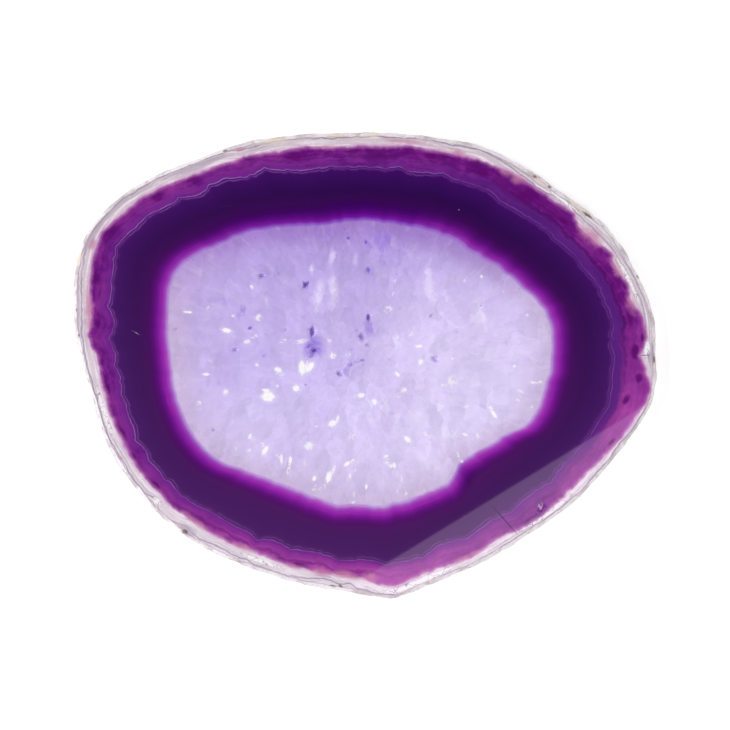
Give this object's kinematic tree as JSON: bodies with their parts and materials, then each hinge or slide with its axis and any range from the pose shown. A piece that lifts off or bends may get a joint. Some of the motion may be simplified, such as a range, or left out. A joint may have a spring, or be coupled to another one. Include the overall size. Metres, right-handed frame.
{
  "type": "agate slice",
  "caption": "Flat polished slice of banded agate with a quartz middle and a rough natural rind around its edge.",
  "frame": {"origin": "middle of the slab's footprint, on its back face", "axes": "+X along the long side, +Z out of the front face, through the slab's thickness"},
  "size_m": [0.1, 0.08, 0.005],
  "materials": {
    "dyed_agate": "polished"
  },
  "bodies": {
    "root": {"agate_slice": "dyed_agate"}
  },
  "joints": []
}
